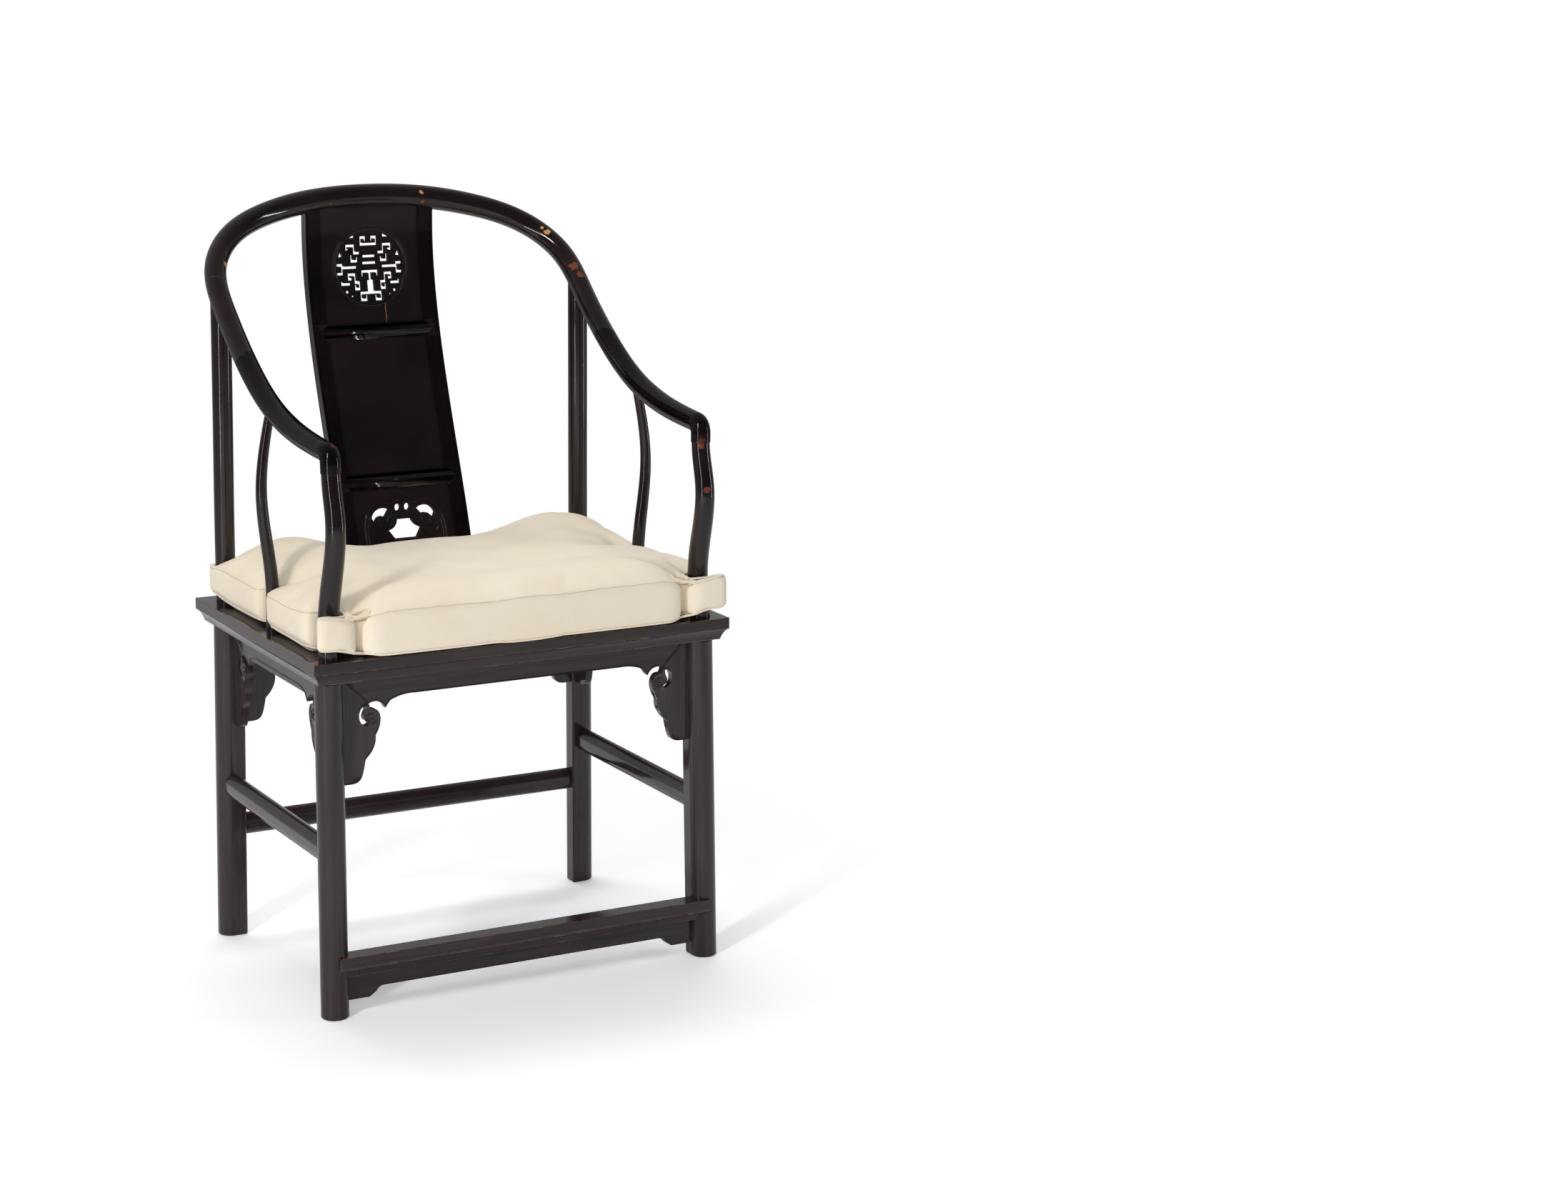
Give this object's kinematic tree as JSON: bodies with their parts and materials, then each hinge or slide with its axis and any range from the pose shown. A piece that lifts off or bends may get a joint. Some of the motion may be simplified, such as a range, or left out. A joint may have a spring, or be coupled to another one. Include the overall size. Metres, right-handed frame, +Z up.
{
  "type": "horseshoe back armchair",
  "caption": "Round-backed wooden armchair with a curved crest rail and arms, bent carved splat, panelled seat, shaped aprons, stretchers, footrest and a loose seat cushion.",
  "frame": {"origin": "on the floor, under the middle of the whole chair's box", "axes": "+X to the right of someone who looks at the chair's front, -Y towards the front, +Z up"},
  "size_m": [0.585, 0.5502, 1.0094],
  "materials": {
    "lacquered_wood": "glossy dark brown-black lacquer, worn to red-brown at the joints",
    "inner_wood": "plain dark wood",
    "cushion_cloth": "cream cloth, soft and slightly wrinkled"
  },
  "bodies": {
    "chair_frame": {"crest_rail_centre": "lacquered_wood", "crest_rail_right": "lacquered_wood", "crest_rail_left": "lacquered_wood", "crest_rail_key_right": "lacquered_wood", "crest_rail_key_left": "lacquered_wood", "front_leg_right": "lacquered_wood", "front_leg_left": "lacquered_wood", "back_leg_right": "lacquered_wood", "back_leg_left": "lacquered_wood", "side_post_right": "lacquered_wood", "side_post_left": "lacquered_wood", "seat_front_rail": "lacquered_wood", "seat_back_rail": "lacquered_wood", "seat_right_rail": "lacquered_wood", "seat_left_rail": "lacquered_wood", "seat_board": "inner_wood", "seat_batten_left": "inner_wood", "seat_batten_right": "inner_wood", "seat_frame_pins": "inner_wood", "apron_front": "lacquered_wood", "apron_back": "lacquered_wood", "apron_right": "lacquered_wood", "apron_left": "lacquered_wood", "spandrel_front_right": "lacquered_wood", "spandrel_front_left": "lacquered_wood", "spandrel_back_right": "lacquered_wood", "spandrel_back_left": "lacquered_wood", "spandrel_right_back": "lacquered_wood", "spandrel_right_front": "lacquered_wood", "spandrel_left_back": "lacquered_wood", "spandrel_left_front": "lacquered_wood", "splat_stile_right": "lacquered_wood", "splat_stile_left": "lacquered_wood", "splat_rail_upper": "lacquered_wood", "splat_rail_lower": "lacquered_wood", "splat_rail_bottom": "lacquered_wood", "splat_panel_top": "lacquered_wood", "splat_panel_middle": "lacquered_wood", "splat_panel_bottom": "lacquered_wood", "side_stretcher_right": "lacquered_wood", "side_stretcher_left": "lacquered_wood", "back_stretcher": "lacquered_wood", "footrest": "lacquered_wood", "footrest_apron": "lacquered_wood"},
    "cushion": {"seat_cushion": "cushion_cloth"}
  },
  "joints": [
    {"name": "cushion_lift", "type": "slide", "parent": "chair_frame", "child": "cushion", "axis": [0, 0, 1], "range_m": [0, 0.02]}
  ]
}
